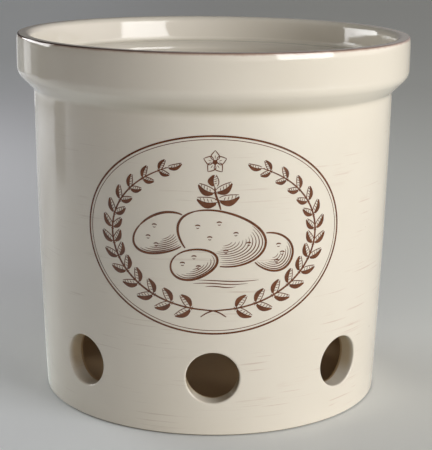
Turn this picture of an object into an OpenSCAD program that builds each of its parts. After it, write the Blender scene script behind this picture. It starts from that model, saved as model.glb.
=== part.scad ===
// Stoneware storage crock for potatoes: a round vessel with a rolled collar, a ledge
// inside the collar, air vents round the foot and an oval printed badge on the front.
// The axis of the vessel is Z, it stands on Z = 0 and the badge faces -Y.

/* [Vessel] */
// Height from the table to the top of the lip
crock_h = 229; // [190:1:280]
// Outer diameter at the foot
foot_d = 217; // [190:1:224]
// Outer diameter at the neck, just under the collar
neck_d = 227.4; // [220:0.2:260]
// How far the side swells past a straight taper at mid height
side_swell = 0.95; // [0:0.05:3]
// Thickness of the wall under the ledge
wall_top_t = 9.1; // [7:0.1:12]
// Thickness of the wall at the foot
wall_foot_t = 10.5; // [8:0.1:14]
// Thickness of the floor over the hollow of the foot
floor_t = 9; // [6:0.5:12]
// Radius of the cove between the floor and the wall
cove_r = 8; // [3:0.5:9]

/* [Collar] */
// How far the collar stands out from the neck
collar_out = 10.3; // [7:0.1:16]
// Height of the upright face of the collar, lip included
collar_band_h = 20.3; // [16:0.1:30]
// Radius that rolls the collar's face into its underside
collar_roll_r = 9; // [3:0.5:12]
// Slope of the collar's underside from the level
collar_slope = 45; // [35:1:55]
// Radius of the hollow where the collar leaves the neck
neck_fillet_r = 4; // [2:0.5:6]
// Radius of the slight crown at the top of the collar's face
collar_crown_r = 30; // [15:1:45]
// How far the crown leans in where it meets the lip's edge, in degrees
collar_lean = 9; // [3:1:12]

/* [Lip and ledge] */
// Width of the lip between its outer and inner faces
lip_w = 9; // [7:0.5:12]
// Radius of the lip's outer edge
lip_outer_r = 1.2; // [1:0.1:2.5]
// Radius of the lip's inner edge
lip_inner_r = 4; // [1:0.1:4.5]
// How far the recess over the ledge opens upwards, in degrees
recess_lean = 7; // [0:1:10]
// Depth of the ledge under the top of the lip
ledge_depth = 16.5; // [10:0.5:22]
// Radius of the corner between the recess and the ledge
ledge_fillet_r = 2; // [1:0.1:3]
// Radius that rolls the ledge into the inner wall
ledge_roll_r = 5.5; // [2:0.1:6]

/* [Foot] */
// Width of the ring that the vessel stands on
foot_ring_w = 10; // [6:0.5:16]
// Depth of the hollow inside the foot ring
foot_hollow = 3; // [1.5:0.5:5]
// Bevel round the bottom edge
foot_bevel = 0.5; // [0.3:0.1:1.5]
// Band of bare clay between the bevel and the glaze
bare_band_h = 0.3; // [0.1:0.1:2]

/* [Vents] */
// Number of air vents round the foot
vent_count = 8; // [4:1:10]
// Bore of each vent
vent_d = 31.75; // [20:0.25:36]
// Height of the middle of the vents
vent_z = 36.7; // [34:0.1:50]
// Radius of the soft edge round each vent
vent_edge_r = 1; // [0.6:0.1:2]

/* [Glaze] */
// Thickness of the glaze coat
glaze_t = 0.5; // [0.3:0.1:0.9]
// Where the brown edge line starts, in degrees round the lip's outer edge
edge_line_from = 25; // [15:1:45]
// Where the brown edge line ends, in degrees round the lip's outer edge
edge_line_to = 80; // [55:1:85]

/* [Badge] */
// Width of the oval along the curved side
badge_w = 159; // [100:1:180]
// Bare side between the vents' soft edges and the oval
badge_over_vents = 10.6; // [6:0.1:30]
// Bare side between the oval and the neck
badge_under_neck = 10.8; // [6:0.1:30]
// Width of the oval's outer line
badge_outer_line_w = 1; // [0.6:0.1:2]
// Width of the oval's inner line
badge_inner_line_w = 0.4; // [0.3:0.1:1]
// Bare glaze between the two lines
badge_line_gap = 1.3; // [0.8:0.1:3]
// Thickness of the printed colour
print_t = 0.15; // [0.1:0.05:0.3]

/* [Hidden] */
$fn = 180;

// Segments of an arc in the outline, of the long side, round a vent and round the oval
arc_steps = 5;
side_steps = 8;
vent_steps = 24;
edge_steps = 4;
oval_steps = 96;
// Length by which a cutting solid runs past the faces that it cuts
cut_over = 6;
// The two faces of the wall, as the direction away from the clay
outer = 1;
inner = -1;

foot_r = foot_d / 2;
neck_r = neck_d / 2;
collar_r = neck_r + collar_out;
recess_r = collar_r - lip_w;
ledge_z = crock_h - ledge_depth;
inner_top_r = neck_r - wall_top_t;
inner_foot_r = foot_r - wall_foot_t;
floor_z = foot_hollow + floor_t;
vent_r = vent_d / 2;
glaze_foot_z = foot_bevel + bare_band_h;

// Height at which the roll of the collar meets its upright face
collar_face_z = crock_h - collar_band_h;
// Centre line of the neck's hollow, which touches the side and the collar's underside
roll_c_r = collar_r - collar_roll_r;
roll_turn = 90 - collar_slope;
neck_c_r = neck_r + neck_fillet_r;
slope_run = (roll_c_r - neck_c_r) + (collar_roll_r + neck_fillet_r) * cos(roll_turn);
neck_z = collar_face_z - (collar_roll_r + neck_fillet_r) * sin(roll_turn) - slope_run * tan(collar_slope);

// Height and middle of the oval, which fills the side between the vents and the neck
badge_low = vent_z + vent_r + vent_edge_r + badge_over_vents;
badge_high = neck_z - badge_under_neck;
badge_h = badge_high - badge_low;
badge_z = (badge_low + badge_high) / 2;

// Centres of the crown and of the lip's two edges
crown_c_r = collar_r - collar_crown_r;
lip_outer_c_r = crown_c_r + (collar_crown_r - lip_outer_r) * cos(collar_lean);
lip_outer_c_z = crock_h - lip_outer_r;
crown_z = lip_outer_c_z - (collar_crown_r - lip_outer_r) * sin(collar_lean);
lip_inner_c_r = recess_r + lip_inner_r;
lip_inner_c_z = crock_h - lip_inner_r;
// Centre of the corner between the leaning recess and the level ledge
recess_drop = lip_inner_c_z - ledge_z - ledge_fillet_r + (lip_inner_r + ledge_fillet_r) * sin(recess_lean);
ledge_c_r = lip_inner_c_r - (lip_inner_r + ledge_fillet_r) * cos(recess_lean) - recess_drop * tan(recess_lean);

function arc(c_r, c_z, radius, from, to) =
  [for (i = [0:arc_steps]) let (a = from + (to - from) * i / arc_steps)
    [c_r + radius * cos(a), c_z + radius * sin(a)]];

function turned(points) = [for (i = [len(points) - 1:-1:0]) points[i]];

// Radius of the finished side at height z: a straight taper with a slight swell
function side_r(z) = let (t = z / neck_z) foot_r + (neck_r - foot_r) * t + 4 * side_swell * t * (1 - t);

// Radius of the finished inner wall at height z
function inner_r(z) = let (low = floor_z + cove_r, high = ledge_z - ledge_roll_r)
  inner_foot_r + (inner_top_r - inner_foot_r) * (z - low) / (high - low);

// The four stretches of the finished outline, from the foot over the lip to the middle of
// the floor. Each can be drawn at a depth d below the finished surface.
function side_line(d) =
  [for (i = [0:side_steps]) let (z = glaze_foot_z + (neck_z - glaze_foot_z) * i / side_steps) [side_r(z) - d, z]];

function collar_line(d) = concat(
  arc(neck_c_r, neck_z, neck_fillet_r + d, 180, 180 - roll_turn),
  arc(roll_c_r, collar_face_z, collar_roll_r - d, -roll_turn, 0),
  arc(crown_c_r, crown_z, collar_crown_r - d, 0, collar_lean),
  lip_arc(d, collar_lean, edge_line_from));

function lip_arc(d, from, to) = arc(lip_outer_c_r, lip_outer_c_z, lip_outer_r - d, from, to);

function inside_line(d) = concat(
  lip_arc(d, edge_line_to, 90),
  arc(lip_inner_c_r, lip_inner_c_z, lip_inner_r - d, 90, 180 - recess_lean),
  arc(ledge_c_r, ledge_z + ledge_fillet_r, ledge_fillet_r + d, -recess_lean, -90),
  arc(inner_top_r + ledge_roll_r, ledge_z - ledge_roll_r, ledge_roll_r - d, 90, 180),
  arc(inner_foot_r - cove_r, floor_z + cove_r, cove_r + d, 0, -90),
  [[0, floor_z - d]]);

// Outline of the clay's foot, from the middle of the hollow out to the bare edge
function foot_line() = [
  [0, foot_hollow],
  [foot_r - glaze_t - foot_ring_w - foot_hollow / 2, foot_hollow],
  [foot_r - glaze_t - foot_ring_w, 0],
  [foot_r - glaze_t - foot_bevel, 0],
  [side_r(foot_bevel) - glaze_t, foot_bevel]];

module revolved(points) rotate_extrude() polygon(points);

// A coat between the finished line and the same line at a depth below it
module coat(finished, below) revolved(concat(finished, turned(below)));

// Cutting solid for the soft edge round one vent, on the outer or the inner face of the
// wall. The vent runs along -Y.
module edge_cutter(side) {
  turn = 90 / edge_steps;
  edge = [for (k = [0:edge_steps])
    [vent_r + vent_edge_r * (1 - cos(k * turn)), vent_edge_r * (1 - sin(k * turn))]];
  // The first and last chords run on, past the bore and past the face of the wall
  rings = concat([2 * edge[0] - edge[1]], [for (k = [1:edge_steps - 1]) edge[k]],
    [2 * edge[edge_steps] - edge[edge_steps - 1]]);
  function face_y(x, z) = let (r = side > 0 ? side_r(z) : inner_r(z)) sqrt(r * r - x * x);
  ring_points = [for (ring = rings) for (i = [0:vent_steps - 1])
    let (a = 360 * i / vent_steps, x = ring[0] * cos(a), z = vent_z + ring[0] * sin(a))
    [x, -(face_y(x, z) - side * ring[1]), z]];
  count = len(rings);
  middle_y = face_y(0, vent_z);
  ends = [[0, -(middle_y - side * rings[0][1]), vent_z], [0, -(middle_y + side * cut_over), vent_z]];
  first_end = count * vent_steps;
  skin = [for (k = [0:count - 2]) for (i = [0:vent_steps - 1])
    let (n = (i + 1) % vent_steps, a = k * vent_steps + i, b = k * vent_steps + n)
    each [[a, a + vent_steps, b], [b, a + vent_steps, b + vent_steps]]];
  caps = [for (i = [0:vent_steps - 1]) let (n = (i + 1) % vent_steps, top = (count - 1) * vent_steps)
    each [[i, n, first_end], [top + n, top + i, first_end + 1]]];
  faces = concat(skin, caps);
  polyhedron(concat(ring_points, ends), side > 0 ? faces : [for (f = faces) [f[2], f[1], f[0]]]);
}

// All that is cut away for the vents: the bores, and their soft edges on the sides named
module vent_cuts(sides)
  for (i = [0:vent_count - 1]) rotate([0, 0, 360 * i / vent_count]) {
    translate([0, -(inner_foot_r - cut_over), vent_z]) rotate([90, 0, 0])
      cylinder(r = vent_r, h = collar_r - inner_foot_r + 2 * cut_over);
    for (side = sides) edge_cutter(side);
  }

// The fired clay: wall, collar, lip, ledge, floor, foot ring and vents
module stoneware_body() color("burlywood") difference() {
  revolved(concat(
    foot_line(), side_line(glaze_t), collar_line(glaze_t),
    lip_arc(glaze_t, edge_line_from, edge_line_to), inside_line(glaze_t)));
  vent_cuts([outer, inner]);
}

// Cream glaze over the side and the collar, up to the brown edge line
module outer_glaze() color("antiquewhite") difference() {
  coat(concat(side_line(0), collar_line(0)), concat(side_line(glaze_t), collar_line(glaze_t)));
  vent_cuts([outer]);
}

// Cream glaze over the lip, the ledge, the inner wall and the floor
module liner_glaze() color("cornsilk") difference() {
  coat(inside_line(0), inside_line(glaze_t));
  vent_cuts([inner]);
}

// Brown line round the lip's outer edge, between the two coats of glaze
module rim_line() color("saddlebrown")
  coat(lip_arc(0, edge_line_from, edge_line_to), lip_arc(glaze_t, edge_line_from, edge_line_to));

// Half axes of an oval at a distance inside the badge's outer edge, measured on the side
function oval(inset) = let (r = side_r(badge_z))
  [for (i = [0:oval_steps - 1]) let (a = 360 * i / oval_steps, along = (badge_w / 2 - inset) * cos(a))
    [r * sin(along / r * 180 / PI), (badge_h / 2 - inset) * sin(a)]];

// A printed oval line on the front of the glaze
module printed_oval(inset, line_w) intersection() {
  coat(side_line(-print_t), side_line(0));
  translate([0, 0, badge_z]) rotate([90, 0, 0]) linear_extrude(height = collar_r) difference() {
    polygon(oval(inset));
    polygon(oval(inset + line_w));
  }
}

module badge_outer_line() color("sienna") printed_oval(0, badge_outer_line_w);

module badge_inner_line() color("sienna")
  printed_oval(badge_outer_line_w + badge_line_gap, badge_inner_line_w);

stoneware_body();
outer_glaze();
liner_glaze();
rim_line();
badge_outer_line();
badge_inner_line();
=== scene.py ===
import math
import bmesh
import bpy
from mathutils import Matrix, Vector


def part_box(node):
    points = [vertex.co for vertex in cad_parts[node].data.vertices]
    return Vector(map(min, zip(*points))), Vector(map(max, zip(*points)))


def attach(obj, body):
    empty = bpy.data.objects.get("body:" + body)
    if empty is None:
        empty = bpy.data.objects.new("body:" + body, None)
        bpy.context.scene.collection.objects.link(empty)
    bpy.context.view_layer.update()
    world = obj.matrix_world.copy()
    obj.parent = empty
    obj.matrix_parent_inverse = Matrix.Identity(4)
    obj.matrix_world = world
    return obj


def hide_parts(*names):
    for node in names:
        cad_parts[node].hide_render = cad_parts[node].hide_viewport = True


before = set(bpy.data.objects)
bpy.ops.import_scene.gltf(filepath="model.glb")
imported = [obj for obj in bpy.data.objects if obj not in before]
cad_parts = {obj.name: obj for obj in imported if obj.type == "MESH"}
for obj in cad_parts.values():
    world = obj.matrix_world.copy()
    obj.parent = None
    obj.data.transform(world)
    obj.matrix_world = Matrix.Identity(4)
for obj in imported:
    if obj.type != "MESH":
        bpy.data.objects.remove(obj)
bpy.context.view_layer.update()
print("frame loaded")

outerLow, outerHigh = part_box("outer_glaze")
linerLow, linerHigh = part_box("liner_glaze")

# The vessel's finished outline, in metres and degrees
crock = {
    "height": linerHigh.z,
    "collarRadius": outerHigh.x,
    "glazeFoot": outerLow.z,
    "footRadius": 0.1085,
    "neckRadius": 0.1137,
    "sideSwell": 0.00095,
    "wallTop": 0.0091,
    "wallFoot": 0.0105,
    "coveRadius": 0.008,
    "collarBand": 0.0203,
    "collarRoll": 0.009,
    "collarSlope": 45,
    "neckFillet": 0.004,
    "collarCrown": 0.030,
    "collarLean": 9,
    "lipWidth": 0.009,
    "lipOuter": 0.0012,
    "lipInner": 0.004,
    "recessLean": 7,
    "ledgeDepth": 0.0165,
    "ledgeFillet": 0.002,
    "ledgeRoll": 0.0055,
    "footRing": 0.010,
    "footHollow": 0.003,
    "footBevel": 0.0005,
    "glaze": 0.0005,
    "edgeLineFrom": 25,
    "edgeLineTo": 80,
}

# The air vents, and how finely the wall round them is divided
vents = {
    "count": 8,
    "radius": 0.015875,
    "height": 0.0367,
    "edge": 0.0010,
    "bandHalf": 0.0200,
    "bandRows": 12,
    "patchColumns": 12,
    "plainColumns": 12,
    "patchRings": (0.0, 0.16, 0.38, 0.67, 1.0),
    "edgeSteps": 6,
    "boreSteps": 5,
    "linerShare": 0.12,
}

footR = crock["footRadius"]
neckR = crock["neckRadius"]
collarR = crock["collarRadius"]
recessR = collarR - crock["lipWidth"]
ledgeZ = crock["height"] - crock["ledgeDepth"]
innerTopR = neckR - crock["wallTop"]
innerFootR = footR - crock["wallFoot"]
floorZ = linerLow.z + crock["glaze"]
collarFaceZ = crock["height"] - crock["collarBand"]
columnCount = vents["count"] * (vents["patchColumns"] + vents["plainColumns"])


def radians(degrees):
    return degrees * math.pi / 180


def sine(degrees):
    return math.sin(radians(degrees))


def cosine(degrees):
    return math.cos(radians(degrees))


# Centres of the outline's arcs
rollC = collarR - crock["collarRoll"]
rollTurn = 90 - crock["collarSlope"]
neckC = neckR + crock["neckFillet"]
bothRolls = crock["collarRoll"] + crock["neckFillet"]
slopeRun = rollC - neckC + bothRolls * cosine(rollTurn)
neckZ = collarFaceZ - bothRolls * sine(rollTurn) - slopeRun * math.tan(radians(crock["collarSlope"]))
crownC = collarR - crock["collarCrown"]
lipOuterC = crownC + (crock["collarCrown"] - crock["lipOuter"]) * cosine(crock["collarLean"])
lipOuterZ = crock["height"] - crock["lipOuter"]
crownZ = lipOuterZ - (crock["collarCrown"] - crock["lipOuter"]) * sine(crock["collarLean"])
lipInnerC = recessR + crock["lipInner"]
lipInnerZ = crock["height"] - crock["lipInner"]
recessArcs = crock["lipInner"] + crock["ledgeFillet"]
recessDrop = lipInnerZ - ledgeZ - crock["ledgeFillet"] + recessArcs * sine(crock["recessLean"])
recessRun = recessDrop * math.tan(radians(crock["recessLean"]))
ledgeC = lipInnerC - recessArcs * cosine(crock["recessLean"]) - recessRun


def arc(centreR, centreZ, radius, start, end, steps):
    turns = [start + (end - start) * i / steps for i in range(steps + 1)]
    return [(centreR + radius * cosine(a), centreZ + radius * sine(a)) for a in turns]


def straight(start, end, steps):
    # the points between two ends, without the ends
    return [
        (start[0] + (end[0] - start[0]) * i / steps, start[1] + (end[1] - start[1]) * i / steps)
        for i in range(1, steps)
    ]


def sideRadius(z):
    t = z / neckZ
    return footR + (neckR - footR) * t + 4 * crock["sideSwell"] * t * (1 - t)


def innerRadius(z):
    coveTop = floorZ + crock["coveRadius"]
    if z < coveTop:
        rise = min(coveTop - z, crock["coveRadius"])
        return innerFootR - crock["coveRadius"] + math.sqrt(crock["coveRadius"] ** 2 - rise ** 2)
    top = ledgeZ - crock["ledgeRoll"]
    return innerFootR + (innerTopR - innerFootR) * (z - coveTop) / (top - coveTop)


def levels(low, high, steps):
    return [low + (high - low) * i / steps for i in range(steps + 1)]


bandLow = vents["height"] - vents["bandHalf"]
bandHigh = vents["height"] + vents["bandHalf"]


def lowerSide(depth, bottom):
    return [(sideRadius(z) - depth, z) for z in levels(bottom, bandLow, 4)]


def upperSide(depth):
    return [(sideRadius(z) - depth, z) for z in levels(bandHigh, neckZ, 30)]


def collarLine(depth):
    hollow = arc(neckC, neckZ, crock["neckFillet"] + depth, 180, 180 - rollTurn, 5)
    roll = arc(rollC, collarFaceZ, crock["collarRoll"] - depth, -rollTurn, 0, 10)
    crown = arc(crownC, crownZ, crock["collarCrown"] - depth, 0, crock["collarLean"], 6)
    edge = lipArc(depth, crock["collarLean"], crock["edgeLineFrom"], 2)
    return (
        hollow[1:] + straight(hollow[-1], roll[0], 3) + roll
        + straight(roll[-1], crown[0], 5) + crown + edge[1:]
    )


def lipArc(depth, start, end, steps):
    return arc(lipOuterC, lipOuterZ, crock["lipOuter"] - depth, start, end, steps)


def recessLine(depth):
    lean = crock["recessLean"]
    edge = lipArc(depth, crock["edgeLineTo"], 90, 2)
    lip = arc(lipInnerC, lipInnerZ, crock["lipInner"] - depth, 90, 180 - lean, 9)
    corner = arc(ledgeC, ledgeZ + crock["ledgeFillet"], crock["ledgeFillet"] + depth, -lean, -90, 6)
    rollR = crock["ledgeRoll"]
    roll = arc(innerTopR + rollR, ledgeZ - rollR, rollR - depth, 90, 180, 9)
    return (
        edge + straight(edge[-1], lip[0], 3) + lip + straight(lip[-1], corner[0], 4)
        + corner + straight(corner[-1], roll[0], 2) + roll
    )


def innerLine(depth):
    heights = levels(ledgeZ - crock["ledgeRoll"], bandHigh, 28)
    return [(innerRadius(z) + depth, z) for z in heights[1:]]


def floorLine(depth):
    coveR = crock["coveRadius"]
    cove = arc(innerFootR - coveR, floorZ + coveR, coveR + depth, 0, -90, 12)
    start = (innerRadius(bandLow) + depth, bandLow)
    below = [p for p in cove if p[1] < bandLow - 0.0002]
    return [start] + below + straight(below[-1], (0, floorZ - depth), 12) + [(0, floorZ - depth)]


def undersideLine():
    edge = footR - crock["glaze"]
    ringInner = edge - crock["footRing"]
    bevel = crock["footBevel"]
    hollowR = ringInner - crock["footHollow"] / 2
    soft = crock["footHollow"] / 3
    return [
        (0, crock["footHollow"]),
        *straight((0, crock["footHollow"]), (hollowR - soft, crock["footHollow"]), 10),
        (hollowR - soft, crock["footHollow"]),
        (hollowR, crock["footHollow"] - soft / 3),
        (ringInner - soft / 4, soft / 2),
        (ringInner + soft / 3, 0),
        *straight((ringInner + soft / 3, 0), (edge - bevel, 0), 4),
        (edge - bevel, 0),
        (edge - bevel / 3, bevel / 3),
        (sideRadius(bevel) - crock["glaze"], bevel),
    ]


def onAxis(radius, turn, z):
    # turn is in degrees, 0 at the front and 90 at the right
    return Vector((radius * sine(turn), -radius * cosine(turn), z))


def columnTurns():
    sector = 360 / vents["count"]
    columns = vents["patchColumns"] + vents["plainColumns"]
    start = -sector / 4
    return [start + i * sector / columns for i in range(columnCount)]


def turnSurface(bm, line, turns=None):
    # a line of (radius, height) points turned about the axis
    closed = turns is None
    turns = turns or columnTurns()
    rings = []
    for radius, z in line:
        if radius < 1e-7:
            rings.append([bm.verts.new((0, 0, z))])
        else:
            rings.append([bm.verts.new(onAxis(radius, a, z)) for a in turns])
    for low, high in zip(rings, rings[1:]):
        last = len(turns) if closed else len(turns) - 1
        for i in range(last):
            n = (i + 1) % len(turns)
            corners = [low[i % len(low)], low[n % len(low)], high[n % len(high)], high[i % len(high)]]
            unique = list(dict.fromkeys(corners))
            bm.faces.new(unique)


def addRings(bm, rings, flip):
    # closed loops of points joined one to the next, from the middle outwards
    loops = [[bm.verts.new(p) for p in ring] for ring in rings]
    count = len(loops[0])
    for near, far in zip(loops, loops[1:]):
        for i in range(count):
            n = (i + 1) % count
            face = [near[i], far[i], far[n], near[n]]
            bm.faces.new(face[::-1] if flip else face)


def ventRing(radius, depth, side, turn, extra):
    # a loop round one vent at a depth under the outer (1) or inner (-1) face of the wall
    points = []
    count = 2 * (vents["patchColumns"] + vents["bandRows"])
    for i in range(count):
        a = 45 + 360 * i / count
        x = radius * cosine(a)
        z = vents["height"] + radius * sine(a)
        face = sideRadius(z) - extra if side > 0 else innerRadius(z) + extra
        y = math.sqrt(face * face - x * x) - side * depth
        points.append(Vector((x, -y, z)))
    spin = Matrix.Rotation(radians(turn), 3, "Z")
    return [spin @ p for p in points]


def patchFrame(turn):
    # the loop of (turn, height) pairs round a vent's patch, from its upper right corner
    columns, rows = vents["patchColumns"], vents["bandRows"]
    half = 360 / vents["count"] / 4
    turns = [turn + half - 2 * half * i / columns for i in range(columns)]
    heights = [bandHigh - 2 * vents["bandHalf"] * i / rows for i in range(rows)]
    loop = [(a, bandHigh) for a in turns]
    loop += [(turn - half, z) for z in heights]
    loop += [(2 * turn - a, bandLow) for a in turns]
    loop += [(turn + half, bandLow + bandHigh - z) for z in heights]
    return loop


def ventPatch(bm, turn, side, extra):
    # the wall round one vent, its soft edge and its half of the bore
    radiusAt = sideRadius if side > 0 else innerRadius
    bore = vents["radius"] + extra
    edge = vents["edge"] - extra
    rim = ventRing(bore + edge, 0, side, turn, extra)
    outerLoop = patchFrame(turn)
    patch = []
    for share in vents["patchRings"]:
        ring = []
        for p, (a, z) in zip(rim, outerLoop):
            rimTurn = math.degrees(math.atan2(p.x, -p.y))
            rimTurn += 360 * round((a - rimTurn) / 360)
            height = p.z + (z - p.z) * share
            mixedTurn = rimTurn + (a - rimTurn) * share
            ring.append(onAxis(radiusAt(height) - side * extra, mixedTurn, height))
        patch.append(ring)
    soft = []
    for i in range(vents["edgeSteps"]):
        a = 90 * i / vents["edgeSteps"]
        soft.append(ventRing(bore + edge * (1 - cosine(a)), edge * (1 - sine(a)), side, turn, extra))
    here = soft[0]
    there = ventRing(bore, edge, -side, turn, extra)
    # the outer coat runs in through most of the bore, and the liner coat takes the rest
    reach = 1 - vents["linerShare"] if side > 0 else vents["linerShare"]
    walls = []
    for i in range(vents["boreSteps"]):
        share = reach * (1 - i / vents["boreSteps"])
        walls.append([p + (q - p) * share for p, q in zip(here, there)])
    addRings(bm, walls + soft + patch, side < 0)


def ventBand(bm, side, extra):
    # the stretch of wall that the vents go through
    sector = 360 / vents["count"]
    radiusAt = sideRadius if side > 0 else innerRadius
    heights = levels(bandLow, bandHigh, vents["bandRows"])
    if side < 0:
        heights = heights[::-1]
    line = [(radiusAt(z) - side * extra, z) for z in heights]
    for i in range(vents["count"]):
        ventPatch(bm, i * sector, side, extra)
        start = (i + 0.25) * sector
        turns = [start + sector / 2 * k / vents["plainColumns"] for k in range(vents["plainColumns"] + 1)]
        turnSurface(bm, line, turns)


def finishMesh(name, bm, smooth=True):
    bmesh.ops.remove_doubles(bm, verts=bm.verts, dist=2e-6)
    mesh = bpy.data.meshes.new(name)
    bm.to_mesh(mesh)
    bm.free()
    if smooth:
        mesh.polygons.foreach_set("use_smooth", [True] * len(mesh.polygons))
    piece = bpy.data.objects.new(name, mesh)
    bpy.context.scene.collection.objects.link(piece)
    return piece


def thicken(piece, thickness):
    # closes a coat to the inside, and keeps its cut edges crisp
    coat = piece.modifiers.new("coat", "SOLIDIFY")
    coat.thickness = thickness
    coat.offset = -1
    graph = bpy.context.evaluated_depsgraph_get()
    bm = bmesh.new()
    bm.from_mesh(bpy.data.meshes.new_from_object(piece.evaluated_get(graph)))
    piece.modifiers.clear()
    for edge in bm.edges:
        edge.smooth = edge.calc_face_angle(0) < radians(40)
    bm.to_mesh(piece.data)
    bm.free()
    return piece


def makeClay():
    depth = crock["glaze"]
    bm = bmesh.new()
    under = undersideLine()
    turnSurface(bm, under + lowerSide(depth, crock["glazeFoot"]))
    ventBand(bm, 1, depth)
    lip = lipArc(depth, crock["edgeLineFrom"], crock["edgeLineTo"], 4)
    turnSurface(bm, upperSide(depth) + collarLine(depth) + lip[1:-1] + recessLine(depth) + innerLine(depth))
    ventBand(bm, -1, depth)
    turnSurface(bm, floorLine(depth))
    return finishMesh("clayVessel", bm)


def makeOuterGlaze():
    bm = bmesh.new()
    turnSurface(bm, lowerSide(0, crock["glazeFoot"]))
    ventBand(bm, 1, 0)
    turnSurface(bm, upperSide(0) + collarLine(0))
    return thicken(finishMesh("outerGlazeCoat", bm), crock["glaze"])


def makeLinerGlaze():
    bm = bmesh.new()
    turnSurface(bm, recessLine(0) + innerLine(0))
    ventBand(bm, -1, 0)
    turnSurface(bm, floorLine(0))
    return thicken(finishMesh("linerGlazeCoat", bm), crock["glaze"])


def makeRimLine():
    bm = bmesh.new()
    turnSurface(bm, lipArc(0, crock["edgeLineFrom"], crock["edgeLineTo"], 4))
    return thicken(finishMesh("rimEdgeLine", bm), crock["glaze"])


clayVessel = makeClay()
outerGlazeCoat = makeOuterGlaze()
linerGlazeCoat = makeLinerGlaze()
rimEdgeLine = makeRimLine()
for piece, node, slot in (
    (clayVessel, "stoneware_body", "clay"),
    (outerGlazeCoat, "outer_glaze", "outer_glaze"),
    (linerGlazeCoat, "liner_glaze", "liner_glaze"),
    (rimEdgeLine, "rim_line", "edge_brown"),
):
    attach(piece, "root")
    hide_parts(node)
print("vessel and its coats made")

# The printed badge: an oval frame, in metres along the curved side
badge = {
    "width": 0.159,
    "height": 0.118,
    "middle": 0.1232,
    "outerLine": 0.0010,
    "outerInk": 0.00112,  # as drawn, a little wider than the part's line
    "innerLine": 0.0004,
    "lineGap": 0.0013,
    "inkLift": 0.00006,
    "inkSink": 0.00004,
    "ovalSteps": 240,
}


def onSide(s, t, lift):
    # a point s along the curved side and t above the badge's middle
    z = badge["middle"] + t
    radius = sideRadius(z) + lift
    turn = math.degrees(s / sideRadius(badge["middle"]))
    return onAxis(radius, turn, z)


def inkBand(bm, edgeA, edgeB, closed=False):
    # a thin closed band of ink between two rows of (s, t) points
    count = len(edgeA)
    rows = []
    top, bottom = badge["inkLift"], -badge["inkSink"]
    for edge, lift in ((edgeA, top), (edgeB, top), (edgeB, bottom), (edgeA, bottom)):
        rows.append([bm.verts.new(onSide(s, t, lift)) for s, t in edge])
    last = count if closed else count - 1
    for i in range(last):
        n = (i + 1) % count
        for k in range(4):
            m = (k + 1) % 4
            bm.faces.new((rows[k][i], rows[k][n], rows[m][n], rows[m][i]))
    if not closed:
        bm.faces.new([row[0] for row in rows])
        bm.faces.new([row[-1] for row in rows][::-1])


def ovalPoint(inset, degrees):
    return (
        (badge["width"] / 2 - inset) * cosine(degrees),
        (badge["height"] / 2 - inset) * sine(degrees),
    )


def makeOvalLine(name, inset, width):
    bm = bmesh.new()
    turns = [360 * i / badge["ovalSteps"] for i in range(badge["ovalSteps"])]
    outer = [ovalPoint(inset, a) for a in turns]
    inner = [ovalPoint(inset + width, a) for a in turns]
    inkBand(bm, outer, inner, closed=True)
    bmesh.ops.recalc_face_normals(bm, faces=bm.faces)
    return finishMesh(name, bm, smooth=False)


outerOval = makeOvalLine("badgeOuterLine", 0, badge["outerInk"])
innerOval = makeOvalLine("badgeInnerLine", badge["outerLine"] + badge["lineGap"], badge["innerLine"])
for piece, node in ((outerOval, "badge_outer_line"), (innerOval, "badge_inner_line")):
    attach(piece, "root")
    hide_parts(node)
print("badge frame made")

# The motif inside the oval: a leaf garland round a heap of potatoes with a sprig above it
motif = {
    "garlandHalf": (0.0620, 0.0440),
    "garlandFrom": -84,
    "garlandTo": 64,
    "garlandLeaves": 13,
    "leafLength": 0.0120,
    "leafWidth": 0.0050,
    "stem": 0.0012,
    "fine": 0.00046,
    "outline": 0.0015,
    "clearance": 0.0007,  # what stays bare round a potato in front
    "shadeFrom": -52,
    "shadeGap": 0.00155,
    "shadeStep": 0.00118,
    "blossom": 0.0068,
    "sprigLeaf": (0.0128, 0.0062),
}

# Each potato: its middle, its half sizes, its tilt, the phase of its bumps and its eyes
potatoes = [
    ((-0.0120, -0.0165), (0.0135, 0.0090), 12, 40, ((-0.45, 0.15), (0.10, 0.45), (0.20, -0.25))),
    (
        (0.0040, -0.0010), (0.0262, 0.0158), -9, 200,
        ((-0.55, 0.30), (-0.10, 0.55), (0.30, 0.25), (-0.25, -0.05), (0.62, -0.05), (0.15, -0.45)),
    ),
    ((-0.0300, 0.0010), (0.0180, 0.0118), 24, 120, ((-0.50, 0.10), (-0.15, 0.50), (-0.35, -0.40))),
    ((0.0335, -0.0095), (0.0150, 0.0105), -28, 300, ((0.45, 0.20), (0.15, 0.50), (0.40, -0.35))),
]


def betweenPoints(a, b, c, d, t):
    # a share t of the way from b to c on the curve through four numbers
    bend = 2 * a - 5 * b + 4 * c - d
    twist = 3 * b - a - 3 * c + d
    return 0.5 * (2 * b + (c - a) * t + bend * t * t + twist * t ** 3)


def smoothLine(points, perSpan=8):
    # a curve through all the points
    line = []
    padded = [points[0], *points, points[-1]]
    for span in zip(padded, padded[1:], padded[2:], padded[3:]):
        for i in range(perSpan):
            line.append(tuple(betweenPoints(*numbers, i / perSpan) for numbers in zip(*span)))
    return line + [points[-1]]


def inkStroke(bm, line, width, ends=0.2):
    # a drawn line that thins towards its ends
    edgeA, edgeB = [], []
    last = len(line) - 1
    for i, (s, t) in enumerate(line):
        before, after = line[max(i - 1, 0)], line[min(i + 1, last)]
        along = Vector((after[0] - before[0], after[1] - before[1])).normalized()
        swell = math.sin(math.pi * i / last) ** 0.6 if 0 < i < last else 0
        half = width / 2 * (ends + (1 - ends) * swell)
        edgeA.append((s - along.y * half, t + along.x * half))
        edgeB.append((s + along.y * half, t - along.x * half))
    inkBand(bm, edgeA, edgeB)


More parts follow.
